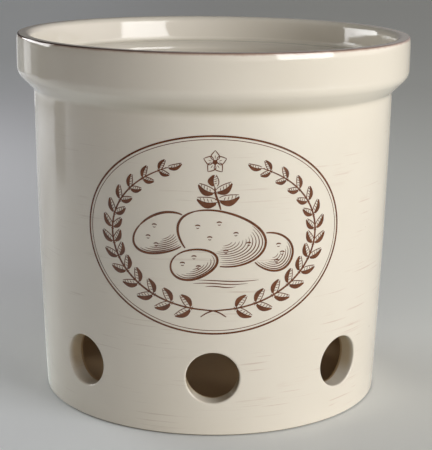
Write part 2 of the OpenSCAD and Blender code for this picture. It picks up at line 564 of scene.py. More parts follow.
def inkLeaf(bm, base, degrees, length, width, solid=1, bend=0.12):
    # a pointed leaf, one half solid and the other outlined and veined
    def spot(share, across):
        x = length * share
        y = across + solid * bend * length * math.sin(math.pi * share)
        return (
            base[0] + x * cosine(degrees) - y * sine(degrees),
            base[1] + x * sine(degrees) + y * cosine(degrees),
        )

    def half(share):
        return 0.00005 + width / 2 * math.sin(math.pi * share ** 0.82) ** 0.85

    shares = [i / 12 for i in range(1, 12)]
    inkBand(bm, [spot(f, solid * half(f)) for f in shares], [spot(f, solid * 0.00012) for f in shares])
    inkStroke(bm, [spot(f, -solid * half(f)) for f in shares], motif["fine"] * 1.2, 0.6)
    inkStroke(bm, [spot(-0.12, 0)] + [spot(f, 0) for f in shares], motif["fine"] * 1.3, 0.6)
    for f in (0.24, 0.40, 0.56, 0.72):
        reach = -solid * half(f)
        inkStroke(bm, [spot(f, 0), spot(f + 0.06, reach * 0.5), spot(f + 0.10, reach * 0.8)], motif["fine"])


def potatoBumps(turn, phase):
    # how far the skin stands out at a turn, as a share of an even oval
    return 1 + 0.045 * sine(2 * turn + phase) + 0.03 * sine(3 * turn + 2 * phase)


def potatoSpot(potato, turn, scale=1.0):
    (s, t), (long, short), tilt, phase, eyes = potato
    reach = scale * potatoBumps(turn, phase)
    x, y = long * reach * cosine(turn), short * reach * sine(turn)
    return (s + x * cosine(tilt) - y * sine(tilt), t + x * sine(tilt) + y * cosine(tilt))


def isOver(point, potato, gap):
    # whether a point lies on a potato, or closer to it than the gap
    (s, t), (long, short), tilt, phase, eyes = potato
    x, y = point[0] - s, point[1] - t
    u = (x * cosine(tilt) + y * sine(tilt)) / long
    v = (y * cosine(tilt) - x * sine(tilt)) / short
    turn = math.degrees(math.atan2(v, u))
    return math.hypot(u, v) < potatoBumps(turn, phase) + gap / short


def strokeBehind(bm, line, width, fronts, ends=0.2):
    # draws only the stretches that no potato in front covers
    run = []
    for point in [*line, None]:
        if point is None or any(isOver(point, front, motif["clearance"]) for front in fronts):
            if len(run) > 3:
                inkStroke(bm, run, width, ends)
            run = []
        else:
            run.append(point)


def drawPotato(bm, potato, fronts):
    (s, t), (long, short), tilt, phase, eyes = potato
    outline = [potatoSpot(potato, 128 - 360 * i / 96) for i in range(97)]
    strokeBehind(bm, outline, motif["outline"], fronts, 0.45)
    # shading lines that follow the outline on the side away from the light
    middle = motif["shadeFrom"] - tilt
    rows = int(short / motif["shadeGap"])
    for k in range(rows):
        spread = 88 - 62 * k / rows
        scale = 1 - (k + 1) * motif["shadeStep"] / short
        line = [potatoSpot(potato, middle - spread + 2 * spread * i / 30, scale) for i in range(31)]
        strokeBehind(bm, line, motif["fine"] * (1.45 - 0.7 * k / rows), fronts, 0.15)
    for u, v in eyes:
        x, y = u * long, v * short
        eye = (s + x * cosine(tilt) - y * sine(tilt), t + x * sine(tilt) + y * cosine(tilt))
        brow = [(eye[0] + 0.0015 * cosine(a), eye[1] + 0.0009 * sine(a)) for a in range(165, 14, -15)]
        lid = [(eye[0] + 0.0009 * cosine(a), eye[1] - 0.0004 - 0.0006 * sine(a)) for a in range(160, 19, -20)]
        strokeBehind(bm, brow, 0.0008, fronts)
        strokeBehind(bm, lid, 0.0005, fronts)


def drawBlossom(bm, middle, size):
    def spot(along, across, turn):
        # a point along a petal's middle line and across it, as shares of the blossom's size
        return (
            middle[0] + size * (along * cosine(turn) - across * sine(turn)),
            middle[1] + size * (along * sine(turn) + across * cosine(turn)),
        )

    for k in range(5):
        turn = 90 + 72 * k
        for side in (-1, 1):
            petal = []
            for i in range(11):
                f = i / 10
                petal.append(spot(0.16 + 0.84 * f, side * 0.36 * math.sin(math.pi * f ** 0.62), turn))
            inkStroke(bm, petal, 0.0006, 0.5)
        inkStroke(bm, [spot(f, 0, turn) for f in (0.3, 0.45, 0.6)], motif["fine"])
    upper = [spot(0.2, 0, a) for a in range(175, 4, -17)]
    lower = [(s, 2 * middle[1] - t) for s, t in upper]
    inkBand(bm, upper, lower)


def finishPrint(name, bm):
    bmesh.ops.recalc_face_normals(bm, faces=bm.faces)
    piece = finishMesh(name, bm, smooth=False)
    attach(piece, "root")
    return piece


def makeGarland():
    bm = bmesh.new()
    wide, high = motif["garlandHalf"]
    start, end = motif["garlandFrom"], motif["garlandTo"]
    for side in (-1, 1):
        stem = [(side * wide * cosine(a), high * sine(a)) for a in levels(start, end, 60)]
        tail = [(-side * 0.0075, -high - 0.0042), (-side * 0.0040, -high - 0.0018), (0, -high - 0.0002)]
        inkStroke(bm, smoothLine(tail, 5)[:-1] + stem, motif["stem"], 0.4)
        count = motif["garlandLeaves"]
        for k in range(count):
            f = (k + 0.7) / count
            a = start + (end - start) * (f - 0.012)
            base = (side * wide * cosine(a), high * sine(a))
            ahead = (side * -wide * sine(a), high * cosine(a))
            heading = math.degrees(math.atan2(ahead[1], ahead[0]))
            shrink = 1 - 0.34 * f * f
            # the leaves on the outside lean less and are a little longer
            for out, lean, share in ((-1, 42, 0.9), (1, 36, 1.0)):
                length = motif["leafLength"] * shrink * share
                width = motif["leafWidth"] * shrink
                inkLeaf(bm, base, heading - side * out * lean, length, width, -side * out, 0.08)
        tip = (side * wide * cosine(end), high * sine(end))
        heading = math.degrees(math.atan2(high * cosine(end), side * -wide * sine(end)))
        inkLeaf(bm, tip, heading, motif["leafLength"] * 0.8, motif["leafWidth"] * 0.7, side)
    drawBlossom(bm, (0, high - 0.0005), motif["blossom"])
    return finishPrint("badgeGarland", bm)


def makePotatoHeap():
    bm = bmesh.new()
    for k, potato in enumerate(potatoes):
        drawPotato(bm, potato, potatoes[:k])
    for width, t in ((0.045, -0.0262), (0.032, -0.0280), (0.018, -0.0298)):
        line = [(0.004 + width * (i / 20 - 0.5), t + 0.0004 * sine(18 * i)) for i in range(21)]
        strokeBehind(bm, line, motif["fine"] * 1.4, potatoes, 0.1)
    return finishPrint("badgePotatoes", bm)


def makeSprig():
    bm = bmesh.new()
    stem = smoothLine([(0.0035, 0.0160), (0.0022, 0.0205), (0.0005, 0.0250), (0.0, 0.0290)])
    inkStroke(bm, stem, motif["stem"], 0.5)
    long, wide = motif["sprigLeaf"]
    for base, degrees, length, width, solid in (
        (stem[-1], 90, 0.62, 1.0, 1),
        (stem[18], 32, 0.92, 0.92, -1),
        (stem[17], 150, 0.92, 0.92, 1),
        (stem[10], 12, 1.05, 1.05, -1),
        (stem[8], 170, 1.05, 1.05, 1),
    ):
        inkLeaf(bm, base, degrees, long * length, wide * width, solid)
    return finishPrint("badgeSprig", bm)


garland = makeGarland()
potatoHeap = makePotatoHeap()
sprig = makeSprig()
print("badge motif made")


def newMaterial(name):
    material = bpy.data.materials.new(name)
    material.use_nodes = True
    tree = material.node_tree
    shader = tree.nodes["Principled BSDF"]
    return material, tree, shader


def newGroup(name, inputs, outputs):
    # inputs are (name, default) pairs and outputs are (name, kind) pairs
    group = bpy.data.node_groups.new(name, "ShaderNodeTree")
    for label, default in inputs:
        kind = "NodeSocketColor" if isinstance(default, tuple) else "NodeSocketFloat"
        socket = group.interface.new_socket(name=label, in_out="INPUT", socket_type=kind)
        socket.default_value = default
    for label, kind in outputs:
        group.interface.new_socket(name=label, in_out="OUTPUT", socket_type="NodeSocket" + kind)
    start = group.nodes.new("NodeGroupInput")
    end = group.nodes.new("NodeGroupOutput")
    return group, start, end


def plug(tree, value, socket):
    if isinstance(value, (int, float, tuple)):
        socket.default_value = value
    else:
        tree.links.new(value, socket)


def calc(tree, operation, first, second=0.0, third=None):
    node = tree.nodes.new("ShaderNodeMath")
    node.operation = operation
    plug(tree, first, node.inputs[0])
    plug(tree, second, node.inputs[1])
    if third is not None:
        plug(tree, third, node.inputs[2])
    return node.outputs[0]


def ramp(tree, value, low, high, start=0.0, end=1.0):
    # a smooth step of a value between two limits
    node = tree.nodes.new("ShaderNodeMapRange")
    node.interpolation_type = "SMOOTHSTEP"
    plug(tree, value, node.inputs["Value"])
    for label, number in (("From Min", low), ("From Max", high), ("To Min", start), ("To Max", end)):
        plug(tree, number, node.inputs[label])
    return node.outputs["Result"]


def blend(tree, share, under, over, mode="MIX"):
    node = tree.nodes.new("ShaderNodeMix")
    node.data_type = "RGBA"
    node.blend_type = mode
    plug(tree, share, node.inputs["Factor"])
    plug(tree, under, node.inputs["A"])
    plug(tree, over, node.inputs["B"])
    return node.outputs["Result"]


def objectPoint(tree):
    place = tree.nodes.new("ShaderNodeTexCoord")
    parts = tree.nodes.new("ShaderNodeSeparateXYZ")
    tree.links.new(place.outputs["Object"], parts.inputs[0])
    return parts.outputs


def noiseAt(tree, point, across, along, detail=2.0, shift=0.0):
    # noise with its own frequency, per metre, round the vessel and up it
    joined = tree.nodes.new("ShaderNodeCombineXYZ")
    plug(tree, calc(tree, "MULTIPLY_ADD", point[0], across, shift), joined.inputs[0])
    plug(tree, calc(tree, "MULTIPLY_ADD", point[1], across, shift), joined.inputs[1])
    plug(tree, calc(tree, "MULTIPLY", point[2], along), joined.inputs[2])
    node = tree.nodes.new("ShaderNodeTexNoise")
    node.inputs["Scale"].default_value = 1.0
    node.inputs["Detail"].default_value = detail
    tree.links.new(joined.outputs[0], node.inputs["Vector"])
    return node.outputs["Fac"]


def product(tree, *factors):
    result = factors[0]
    for factor in factors[1:]:
        result = calc(tree, "MULTIPLY", result, factor)
    return result


def fromAxis(tree, x, y):
    # how far a point lies from the vessel's axis
    return calc(tree, "SQRT", calc(tree, "ADD", product(tree, x, x), product(tree, y, y)))


# The two coats of glaze. Pairs are where a change starts and where it ends, in metres
glazeLook = {
    "cream": (0.80, 0.745, 0.632, 1.0),
    "liner": (0.83, 0.79, 0.68, 1.0),
    # painted shade deep inside the liner: its colour, then the heights over which it comes in
    "deep": (0.47, 0.33, 0.18, 1.0),
    "deepShadeTint": (0.207, 0.165),
    "deepDull": 0.45,
    "dullFrom": (0.165, 0.12),
    "roughness": 0.07,
    "glossSpread": 0.05,
    "bend": 1.6,
    "waveDepth": 0.00012,
    "outerWaves": 1.0,
    "linerWaves": 1.6,
    "streaks": 0.35,
    "streakDull": 0.06,
    "specks": 0.5,
    "speckTop": (0.185, 0.17),
    "clouding": 0.06,
    "cornerDull": 0.35,
    "cornerAcross": (-0.0008, 0.0002),  # from the middle of the corner's arc
    "cornerTop": (0.0035, 0.0018),  # above the ledge
}

# Slow clouds of tone and small specks, with scales per metre
toneLook = {
    "cloudScale": 22,
    "cloudLevel": 0.7,
    "powers": {"Red": 0.8, "Green": 1.0, "Blue": 1.5},  # a darker glaze is a warmer one
    "speckColour": (0.3, 0.2, 0.12, 1.0),
    "speckScale": 130,
    "speckRare": (0.955, 0.96),
    "speckSmallest": 0.02,
    "speckSpread": 0.045,
    "speckEdge": 1.7,
}


def makeGlazeToneGroup():
    # slow changes of tone over a glaze, with small specks
    group, start, end = newGroup(
        "glazeTone",
        [
            ("Colour", glazeLook["cream"]),
            ("Speck Colour", toneLook["speckColour"]),
            ("Clouding", 0.05),
            ("Specks", 0.5),
        ],
        [("Colour", "Color"), ("Cloud", "Float")],
    )
    point = objectPoint(group)
    cloud = noiseAt(group, point, toneLook["cloudScale"], toneLook["cloudScale"], detail=3.0)
    lack = calc(group, "SUBTRACT", toneLook["cloudLevel"], cloud)
    darker = calc(group, "SUBTRACT", 1.0, product(group, lack, start.outputs["Clouding"]))
    tints = group.nodes.new("ShaderNodeCombineColor")
    for channel, power in toneLook["powers"].items():
        plug(group, calc(group, "POWER", darker, power), tints.inputs[channel])
    toned = blend(group, 1.0, start.outputs["Colour"], tints.outputs[0], mode="MULTIPLY")
    speck = product(group, makeSpecks(group), start.outputs["Specks"])
    plug(group, blend(group, speck, toned, start.outputs["Speck Colour"]), end.inputs["Colour"])
    plug(group, cloud, end.inputs["Cloud"])
    return group


def makeSpecks(group):
    # a small dot in a few of the cells, each with its own size
    cells = group.nodes.new("ShaderNodeTexVoronoi")
    cells.inputs["Scale"].default_value = toneLook["speckScale"]
    place = group.nodes.new("ShaderNodeTexCoord")
    group.links.new(place.outputs["Object"], cells.inputs["Vector"])
    chance = group.nodes.new("ShaderNodeSeparateColor")
    group.links.new(cells.outputs["Color"], chance.inputs[0])
    rare = ramp(group, chance.outputs["Red"], *toneLook["speckRare"])
    spread, smallest = toneLook["speckSpread"], toneLook["speckSmallest"]
    size = calc(group, "MULTIPLY_ADD", chance.outputs["Green"], spread, smallest)
    dot = ramp(group, cells.outputs["Distance"], product(group, size, toneLook["speckEdge"]), size)
    return product(group, dot, rare)


# Thin streaks: scales are pairs, per metre round the vessel and up it
streakLook = {
    "colour": (0.42, 0.31, 0.22, 1.0),
    "redder": (0.52, 0.30, 0.22, 1.0),
    "redderFrom": (-0.02, 0.06),
    "waveScale": (26, 12),
    "waveHeight": 0.0022,
    "fineScale": (21, 900),
    "broadScale": (18, 420),
    "broadShare": 0.3,
    "cut": (0.62, 0.70),
    "patchScale": (34, 60),
    "patchCut": (0.48, 0.62),
    "fadeUp": (0.20, 0.06),
    "upperShare": 0.45,
    "fadeLeft": (-0.09, 0.04),
    "leftShare": 0.7,
    "top": 0.185,
    "topFade": 0.012,
}


def makeStreakGroup():
    # thin broken brush streaks that run round the vessel
    group, start, end = newGroup(
        "brushStreaks",
        [
            ("Colour", glazeLook["cream"]),
            ("Streak Colour", streakLook["colour"]),
            ("Strength", 0.3),
            ("Top", streakLook["top"]),
        ],
        [("Colour", "Color"), ("Mask", "Float")],
    )
    x, y, z = objectPoint(group)
    wave = noiseAt(group, (x, y, z), *streakLook["waveScale"], detail=1.0, shift=3.0)
    bent = (x, y, calc(group, "MULTIPLY_ADD", wave, streakLook["waveHeight"], z))
    fine = noiseAt(group, bent, *streakLook["fineScale"], detail=1.5, shift=7.0)
    broad = noiseAt(group, bent, *streakLook["broadScale"], detail=2.0, shift=11.0)
    broadLines = product(group, ramp(group, broad, *streakLook["cut"]), streakLook["broadShare"])
    lines = calc(group, "MAXIMUM", ramp(group, fine, *streakLook["cut"]), broadLines)
    patch = noiseAt(group, (x, y, z), *streakLook["patchScale"], detail=2.0, shift=17.0)
    patches = ramp(group, patch, *streakLook["patchCut"])
    lower = ramp(group, z, *streakLook["fadeUp"], streakLook["upperShare"], 1.0)
    right = ramp(group, x, *streakLook["fadeLeft"], streakLook["leftShare"], 1.0)
    top = start.outputs["Top"]
    below = ramp(group, z, top, calc(group, "SUBTRACT", top, streakLook["topFade"]))
    mask = product(group, lines, patches, lower, below, right)
    share = product(group, mask, start.outputs["Strength"])
    toRed = ramp(group, x, *streakLook["redderFrom"])
    streak = blend(group, toRed, start.outputs["Streak Colour"], streakLook["redder"])
    plug(group, blend(group, share, start.outputs["Colour"], streak), end.inputs["Colour"])
    plug(group, mask, end.inputs["Mask"])
    return group


rippleLook = {
    "waveScale": (55, 70),
    "peelScale": (420, 420),
    "peelShare": 0.06,
}


def makeRippleGroup():
    # height of the slow waves and the fine orange peel of a fired glaze
    group, start, end = newGroup("glazeRipple", [("Waves", 1.0), ("Peel", 1.0)], [("Height", "Float")])
    point = objectPoint(group)
    wave = noiseAt(group, point, *rippleLook["waveScale"], detail=1.0, shift=5.0)
    grain = noiseAt(group, point, *rippleLook["peelScale"], detail=1.0)
    waves = product(group, wave, start.outputs["Waves"])
    peel = product(group, grain, start.outputs["Peel"], rippleLook["peelShare"])
    plug(group, calc(group, "ADD", waves, peel), end.inputs["Height"])
    return group


# Heights are measured from the vents' middles, and depths from the outer face
boreLook = {
    # the bores' tint: thin glaze, and painted shade inside the bores
    "thinGlazeAndShadeTint": (0.84, 0.76, 0.62, 1.0),
    "poolAndShadeTop": (-0.0135, -0.004),
    "bandEdge": 0.0005,
    "depth": (0.0008, 0.0045),
}


def makeBoreGroup():
    # the glaze runs thin over the vents' edges and in their bores, and turns browner there; the browner
    # colour is also painted shade inside the bores
    group, start, end = newGroup(
        "boreTint",
        [("Colour", glazeLook["cream"]), ("Bore", boreLook["thinGlazeAndShadeTint"])],
        [("Colour", "Color")],
    )
    x, y, z = objectPoint(group)
    rise = product(group, z, 1 / neckZ)
    bow = product(group, rise, calc(group, "SUBTRACT", 1.0, rise), 4 * crock["sideSwell"])
    side = calc(group, "ADD", calc(group, "MULTIPLY_ADD", rise, neckR - footR, footR), bow)
    depth = calc(group, "SUBTRACT", side, fromAxis(group, x, y))
    # the bottom of each bore, where the glaze pools and light reaches, keeps its colour
    browning = ramp(group, z, *(vents["height"] + h for h in boreLook["poolAndShadeTop"]))
    inBand = product(group, ramp(group, z, bandHigh, bandHigh - boreLook["bandEdge"]), browning)
    inBore = product(group, ramp(group, depth, *boreLook["depth"]), inBand)
    tinted = blend(group, 1.0, start.outputs["Colour"], start.outputs["Bore"], mode="MULTIPLY")
    plug(group, blend(group, inBore, start.outputs["Colour"], tinted), end.inputs["Colour"])
    return group


# Heights of the pool, which is painted shade under the collar where the glaze also pools, are measured from
# the neck, and those of the run from the lip's outer edge
collarLook = {
    "neckPoolAndShade": (0.79, 0.775, 0.72, 1.0),
    "neckShadeBottom": (-0.0022, 0.0020),
    "poolAndShadeTop": (0.009, 0.003),
    "neckShadeLeft": (-0.10, -0.01),
    "leftShare": 0.15,
    "neckShadeRight": (0.02, 0.09),
    "rightShare": 0.3,
    "unevenScale": (40, 40),
    "unevenCut": (0.2, 0.5),
    "unevenLeast": 0.8,
    "bleed": (0.62, 0.48, 0.44, 1.0),
    "run": (-0.0003, 0.0010),
    "jagScale": (190, 0),
    "jagHeight": 0.0009,
}


def makeCollarGroup():
    # the hollow of the neck, where the glaze pools, is darkened by painted shade under the collar, strongest
    # at the front, and the edge line's colour runs a little way down
    group, start, end = newGroup(
        "collarTint",
        [("Colour", glazeLook["cream"]), ("Neck Pool And Shade", collarLook["neckPoolAndShade"]), ("Bleed", collarLook["bleed"])],
        [("Colour", "Color")],
    )
    x, y, z = objectPoint(group)
    uneven = noiseAt(group, (x, y, z), *collarLook["unevenScale"], detail=2.0, shift=13.0)
    fromLeft = ramp(group, x, *collarLook["neckShadeLeft"], collarLook["leftShare"], 1.0)
    toRight = ramp(group, x, *collarLook["neckShadeRight"], 1.0, collarLook["rightShare"])
    bottom = ramp(group, z, *(neckZ + h for h in collarLook["neckShadeBottom"]))
    top = ramp(group, z, *(neckZ + h for h in collarLook["poolAndShadeTop"]))
    evenness = ramp(group, uneven, *collarLook["unevenCut"], collarLook["unevenLeast"], 1.0)
    # painted shade under the collar, where the glaze also pools, weaker to the left and to the right
    neckPoolAndShade = product(group, bottom, top, fromLeft, toRight, evenness)
    pooledAndShaded = blend(group, 1.0, start.outputs["Colour"], start.outputs["Neck Pool And Shade"], mode="MULTIPLY")
    coat = blend(group, neckPoolAndShade, start.outputs["Colour"], pooledAndShaded)
    jag = noiseAt(group, (x, y, z), *collarLook["jagScale"], detail=2.0, shift=19.0)
    edge = calc(group, "MULTIPLY_ADD", jag, collarLook["jagHeight"], z)
    run = ramp(group, edge, *(lipOuterZ + h for h in collarLook["run"]))
    tinted = blend(group, 1.0, coat, start.outputs["Bleed"], mode="MULTIPLY")
    plug(group, blend(group, run, coat, tinted), end.inputs["Colour"])
    return group


boreGroup = makeBoreGroup()
toneGroup = makeGlazeToneGroup()
streakGroup = makeStreakGroup()
rippleGroup = makeRippleGroup()
collarGroup = makeCollarGroup()


def useGroup(tree, group, **values):
    node = tree.nodes.new("ShaderNodeGroup")
    node.node_tree = group
    for label, value in values.items():
        plug(tree, value, node.inputs[label.replace("_", " ")])
    return node.outputs


def addBump(tree, shader, height, strength, distance):
    bump = tree.nodes.new("ShaderNodeBump")
    bump.inputs["Strength"].default_value = strength
    bump.inputs["Distance"].default_value = distance
    tree.links.new(height, bump.inputs["Height"])
    tree.links.new(bump.outputs["Normal"], shader.inputs["Normal"])


def addRipple(tree, shader, waves, peel):
    height = useGroup(tree, rippleGroup, Waves=waves, Peel=peel)["Height"]
    addBump(tree, shader, height, 1.0, glazeLook["waveDepth"])


def glossOf(tree, cloud):
    # the gloss changes a little with the clouds of tone
    spread = glazeLook["glossSpread"]
    return calc(tree, "MULTIPLY_ADD", cloud, spread, glazeLook["roughness"] - spread / 2)


def dress(piece, material):
    piece.data.materials.clear()
    piece.data.materials.append(material)


def makeOuterGlazeMaterial():
    material, tree, shader = newMaterial("creamGlaze")
    specks = ramp(tree, objectPoint(tree)[2], *glazeLook["speckTop"], 0.0, glazeLook["specks"])
    tone = useGroup(
        tree, toneGroup, Colour=glazeLook["cream"], Clouding=glazeLook["clouding"], Specks=specks,
    )
    streaked = useGroup(tree, streakGroup, Colour=tone["Colour"], Strength=glazeLook["streaks"])
    bored = useGroup(tree, boreGroup, Colour=streaked["Colour"])
    collared = useGroup(tree, collarGroup, Colour=bored["Colour"])
    tree.links.new(collared["Colour"], shader.inputs["Base Color"])
    gloss = glossOf(tree, tone["Cloud"])
    gloss = calc(tree, "MULTIPLY_ADD", streaked["Mask"], glazeLook["streakDull"], gloss)
    tree.links.new(gloss, shader.inputs["Roughness"])
    shader.inputs["IOR"].default_value = glazeLook["bend"]
    addRipple(tree, shader, glazeLook["outerWaves"], 1.0)
    return material


def makeLinerGlazeMaterial():
    material, tree, shader = newMaterial("linerGlaze")
    tone = useGroup(
        tree, toneGroup, Colour=glazeLook["liner"], Clouding=glazeLook["clouding"], Specks=0.0,
    )
    x, y, z = objectPoint(tree)
    # painted shade: deep inside, the liner turns dark brown
    deepShadeTint = tuple(d / c for d, c in zip(glazeLook["deep"], glazeLook["liner"]))
    browning = blend(tree, ramp(tree, z, *glazeLook["deepShadeTint"]), (1.0, 1.0, 1.0, 1.0), deepShadeTint)
    coat = blend(tree, 1.0, tone["Colour"], browning, mode="MULTIPLY")
    tree.links.new(coat, shader.inputs["Base Color"])
    # it is duller deep inside
    gloss = glossOf(tree, tone["Cloud"])
    deep = ramp(tree, z, *glazeLook["dullFrom"])
    gloss = calc(tree, "MULTIPLY_ADD", deep, glazeLook["deepDull"], gloss)
    # and in the ledge's corner, where it settles softly
    inCorner = ramp(tree, fromAxis(tree, x, y), *(ledgeC + r for r in glazeLook["cornerAcross"]))
    corner = product(tree, inCorner, ramp(tree, z, *(ledgeZ + h for h in glazeLook["cornerTop"])))
    gloss = calc(tree, "MULTIPLY_ADD", corner, glazeLook["cornerDull"], gloss)
    tree.links.new(gloss, shader.inputs["Roughness"])
    shader.inputs["IOR"].default_value = glazeLook["bend"]
    addRipple(tree, shader, glazeLook["linerWaves"], 1.0)
    return material


clayLook = {
    "colour": (0.55, 0.45, 0.33, 1.0),
    "clouding": 0.35,
    "speckColour": (0.2, 0.13, 0.08, 1.0),
    "specks": 0.9,
    # painted contact shade along the foot's bare edge, where it meets the table
    "contactShade": (0.10, 0.085, 0.045, 1.0),
    "contactShadeShare": 0.75,
    "contactShadeTop": (0.0014, 0.0010),
    "contactShadeBottom": (-0.0005, 0.0003),
    "grainScale": (1800, 1800),
    "grainCut": (0.3, 0.7),
    "roughness": (0.72, 0.92),
    "grainStrength": 0.7,
    "grainDepth": 0.00015,
}


def makeClayMaterial():
    material, tree, shader = newMaterial("bareClay")
    tone = useGroup(
        tree, toneGroup, Colour=clayLook["colour"], Speck_Colour=clayLook["speckColour"],
        Clouding=clayLook["clouding"], Specks=clayLook["specks"],
    )
    point = objectPoint(tree)
    # painted contact shade: the foot's bare edge is darkened where it meets the table
    band = product(
        tree, ramp(tree, point[2], *clayLook["contactShadeTop"]), ramp(tree, point[2], *clayLook["contactShadeBottom"]),
    )
    contactShade = product(tree, band, clayLook["contactShadeShare"])
    contactShaded = blend(tree, contactShade, tone["Colour"], clayLook["contactShade"])
    tree.links.new(contactShaded, shader.inputs["Base Color"])
    grain = noiseAt(tree, point, *clayLook["grainScale"], detail=4.0)
    rough = ramp(tree, grain, *clayLook["grainCut"], *clayLook["roughness"])
    tree.links.new(rough, shader.inputs["Roughness"])
    addBump(tree, shader, grain, clayLook["grainStrength"], clayLook["grainDepth"])
    return material


edgeLook = {
    "brown": (0.075, 0.050, 0.040, 1.0),
    # the colour where the line is worn thin, also its painted lit colour on the right
    "thinnedAndLit": (0.50, 0.36, 0.29, 1.0),
    "wearScale": (60, 60),
    "wearCut": (0.42, 0.72),
    "wearShare": 0.25,
    "paintedLightFrom": (-0.07, -0.005),
    "leftShare": 0.08,
    "rightShare": 0.48,
    "roughness": (0.10, 0.16),
    "ripple": 0.6,
}


def makeEdgeLineMaterial():
    # the brown edge line, which the glaze has thinned in places, and which is painted lighter towards the lit
    # right side
    material, tree, shader = newMaterial("brownEdgeLine")
    point = objectPoint(tree)
    wear = noiseAt(tree, point, *edgeLook["wearScale"], detail=3.0, shift=2.0)
    worn = ramp(tree, wear, *edgeLook["wearCut"])
    # painted light: the line is lighter towards the right, where the light falls
    side = ramp(tree, point[0], *edgeLook["paintedLightFrom"], edgeLook["leftShare"], edgeLook["rightShare"])
    share = calc(tree, "MULTIPLY_ADD", worn, edgeLook["wearShare"], side)
    colour = blend(tree, share, edgeLook["brown"], edgeLook["thinnedAndLit"])
    tree.links.new(colour, shader.inputs["Base Color"])
    tree.links.new(ramp(tree, worn, 0.0, 1.0, *edgeLook["roughness"]), shader.inputs["Roughness"])
    addRipple(tree, shader, edgeLook["ripple"], edgeLook["ripple"])
    return material


inkLook = {
    "dense": (0.118, 0.034, 0.010, 1.0),
    "browning": (0.180, 0.060, 0.021, 1.0),
    "scale": (260, 260),
    "cut": (0.35, 0.75),
    "roughness": (0.16, 0.24),
}


def makeInkMaterial():
    # the fired brown print, a little uneven in density
    material, tree, shader = newMaterial("brownPrint")
    uneven = noiseAt(tree, objectPoint(tree), *inkLook["scale"], detail=3.0, shift=9.0)
    thinness = ramp(tree, uneven, *inkLook["cut"])
    tree.links.new(blend(tree, thinness, inkLook["dense"], inkLook["browning"]), shader.inputs["Base Color"])
    tree.links.new(ramp(tree, thinness, 0.0, 1.0, *inkLook["roughness"]), shader.inputs["Roughness"])
    return material


dress(outerGlazeCoat, makeOuterGlazeMaterial())
dress(linerGlazeCoat, makeLinerGlazeMaterial())
dress(clayVessel, makeClayMaterial())
dress(rimEdgeLine, makeEdgeLineMaterial())
ink = makeInkMaterial()
for inked in (outerOval, innerOval, garland, potatoHeap, sprig):
    dress(inked, ink)
print("materials made")

# The camera, turned a little so that the front vent stands right of the middle
camera = {
    "distance": 0.83632,
    "height": 0.30683,
    "pitch": 13.709,
    "aside": 0.196,
    "roll": 0.683,
    "around": -0.8,
    "lens": 104.80,
}


def makeCamera():
    data = bpy.data.cameras.new("camera")
    data.lens = camera["lens"]
    data.sensor_width = 36
    data.clip_start = 0.05
    data.clip_end = 50
    eye = bpy.data.objects.new("camera", data)
    bpy.context.scene.collection.objects.link(eye)
    yaw, pitch = camera["aside"], camera["pitch"]
    ahead = Vector((sine(yaw) * cosine(pitch), cosine(yaw) * cosine(pitch), -sine(pitch)))
    right = Vector((cosine(yaw), -sine(yaw), 0))
    up = right.cross(ahead)
    roll = camera["roll"]
    rolledRight = right * cosine(roll) + up * sine(roll)
    rolledUp = up * cosine(roll) - right * sine(roll)
    look = Matrix((rolledRight, rolledUp, -ahead)).transposed().to_4x4()
    place = Matrix.Translation(Vector((0, -camera["distance"], camera["height"])))
    around = Matrix.Rotation(radians(camera["around"]), 4, "Z")
    eye.matrix_world = around @ place @ look
    bpy.context.scene.camera = eye


# The studio: two soft boxes and a warm glow from the front and the right
studio = {
    "keyPlace": (0.996, -0.836, 0.55),
    "keyAim": (0, 0, 0.15),
    "keySize": (0.82, 0.69),
    "keyPower": 10.3,
    "sidePlace": (-1.046, 0.628, 0.46),
    "sideAim": (0, 0, 0.20),
    "sideSize": (0.86, 0.44),
    "sidePower": 6.6,
    "cardAway": 0.55,
    "cardWidth": 0.116,
    "fill": 0.01,
    "ceiling": 0.06,
    "ceilingFrom": (0.65, 0.85),
    "backdrop": (0.215, 0.225, 0.225, 1.0),
    "glow": (1.0, 0.93, 0.925, 1.0),
    "glowStrength": 1.49,
    "glowFrom": 72,
    "glowTop": 30,
    "glowEdge": 12,
}

# Two narrow cards that the collar's left edge mirrors. Each has the turn and the height of the
# point that it faces, which lies at the collar's radius, then the turn that it stands at from
# there, how tall it is and its power
cards = (
    ("collarCard", -58, 0.231, -136, 0.21, 0.072),
    ("edgeCard", -31, 0.165, -163, 0.10, 0.010),
)


def makeAreaLight(name, place, aim, size, power):
    data = bpy.data.lights.new(name, "AREA")
    data.shape = "RECTANGLE"
    data.size, data.size_y = size
    data.energy = power
    lamp = bpy.data.objects.new(name, data)
    lamp.location = place
    lamp.rotation_mode = "QUATERNION"
    lamp.rotation_quaternion = (Vector(aim) - Vector(place)).to_track_quat("-Z", "Y")
    lamp.visible_camera = False
    bpy.context.scene.collection.objects.link(lamp)


def makeLamps():
    makeAreaLight("keyBox", studio["keyPlace"], studio["keyAim"], studio["keySize"], studio["keyPower"])
    makeAreaLight("sideBox", studio["sidePlace"], studio["sideAim"], studio["sideSize"], studio["sidePower"])
    for name, aimTurn, height, outTurn, tall, power in cards:
        aim = onAxis(collarR, aimTurn, height)
        place = aim + onAxis(studio["cardAway"], outTurn, 0)
        makeAreaLight(name, place, aim, (studio["cardWidth"], tall), power)


